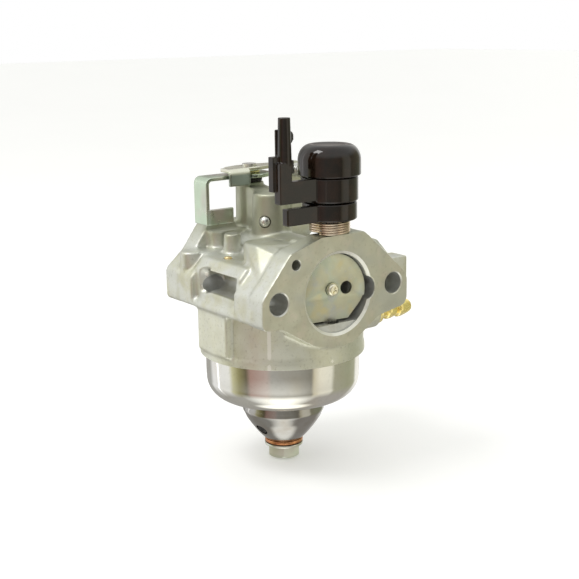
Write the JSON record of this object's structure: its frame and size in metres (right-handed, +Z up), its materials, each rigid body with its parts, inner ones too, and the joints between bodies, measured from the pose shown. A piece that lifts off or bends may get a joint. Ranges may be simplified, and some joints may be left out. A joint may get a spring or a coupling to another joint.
{
  "type": "carburetor",
  "caption": "Small-engine float-bowl carburetor with butterfly throttle and choke on upright shafts, two-stud flanges, round bowl and barbed fuel inlet.",
  "frame": {"origin": "centre of the throat on the engine flange face", "axes": "+Y out of the engine flange face, away from the air-cleaner side; +X towards the fuel inlet; +Z up along the two shafts"},
  "size_m": [0.0684, 0.0621, 0.1155],
  "materials": {
    "cast_aluminium": "satin die-cast, machined flange faces",
    "bowl_steel": "bright plated deep-drawn steel",
    "zinc_steel": "zinc plated with a pale yellow-green passivation",
    "bright_steel": "turned steel",
    "spring_steel": "drawn wire, brown tint",
    "brass": "machined brass",
    "yellow_plated": "yellow plated",
    "copper": "soft copper",
    "black_plastic": "glossy moulded",
    "float_plastic": "moulded, fine texture",
    "black_rubber": "matt"
  },
  "bodies": {
    "housing": {"carburetor_body": "cast_aluminium", "ball_plug": "bright_steel", "passage_plug": "brass", "float_bowl": "bowl_steel", "sediment_cup": "bowl_steel", "drain_plug": "black_rubber", "bowl_washer": "copper", "bowl_bolt": "zinc_steel", "bowl_gasket": "black_rubber", "main_nozzle": "brass", "main_jet": "brass", "pilot_jet": "brass", "float_pin": "bright_steel", "needle_seat": "brass", "fuel_inlet_pipe": "yellow_plated", "throttle_seal": "black_rubber", "throttle_stop_spring": "spring_steel", "pilot_spring": "spring_steel", "choke_spring": "spring_steel"},
    "throttle_rotor": {"throttle_shaft": "bright_steel", "throttle_plate": "brass", "throttle_plate_screw": "bright_steel", "throttle_lever": "zinc_steel", "throttle_spacer": "yellow_plated", "throttle_top_plate": "zinc_steel"},
    "choke_rotor": {"choke_shaft": "bright_steel", "choke_plate": "zinc_steel", "choke_plate_screw": "zinc_steel", "choke_lower_lever": "black_plastic"},
    "choke_arm": {"choke_upper_lever": "black_plastic", "choke_cap": "black_plastic"},
    "float_unit": {"float": "float_plastic"},
    "needle_unit": {"float_needle": "brass"},
    "stop_screw_unit": {"throttle_stop_screw": "zinc_steel"},
    "pilot_screw_unit": {"pilot_screw": "brass"}
  },
  "joints": [
    {"name": "throttle_turn", "type": "hinge", "parent": "housing", "child": "throttle_rotor", "pos_m": [0, -0.008, 0.03], "axis": [0, 0, 1], "range_deg": [-38, 31]},
    {"name": "choke_turn", "type": "hinge", "parent": "housing", "child": "choke_rotor", "pos_m": [0, -0.0503, 0.02], "axis": [0, 0, -1], "range_deg": [0, 75], "stiffness_Nm_per_rad": 0.01, "springref_deg": -28.65},
    {"name": "choke_relief", "type": "hinge", "parent": "choke_rotor", "child": "choke_arm", "pos_m": [0, -0.0503, 0.033], "axis": [0, 0, -1], "range_deg": [-20, 0], "stiffness_Nm_per_rad": 0.02, "springref_deg": 11.46},
    {"name": "float_swing", "type": "hinge", "parent": "housing", "child": "float_unit", "pos_m": [0.019, -0.025, -0.0192], "axis": [0, -1, 0], "range_deg": [0, 7]},
    {"name": "needle_slide", "type": "slide", "parent": "housing", "child": "needle_unit", "axis": [0, 0, -1], "range_m": [0, 0.0007]},
    {"name": "stop_screw_turn", "type": "hinge", "parent": "housing", "child": "stop_screw_unit", "pos_m": [0.0077, -0.0274, 0.0345], "axis": [0, 1, 0], "range_deg": [-360, 360]},
    {"name": "pilot_screw_turn", "type": "hinge", "parent": "housing", "child": "pilot_screw_unit", "pos_m": [0.0256, -0.0124, 0.0134], "axis": [1, 0, 0], "range_deg": [-360, 720]}
  ],
  "couplings": [
    {"joint": "needle_slide", "follows": "float_swing", "m_per_rad": 0.0055}
  ]
}
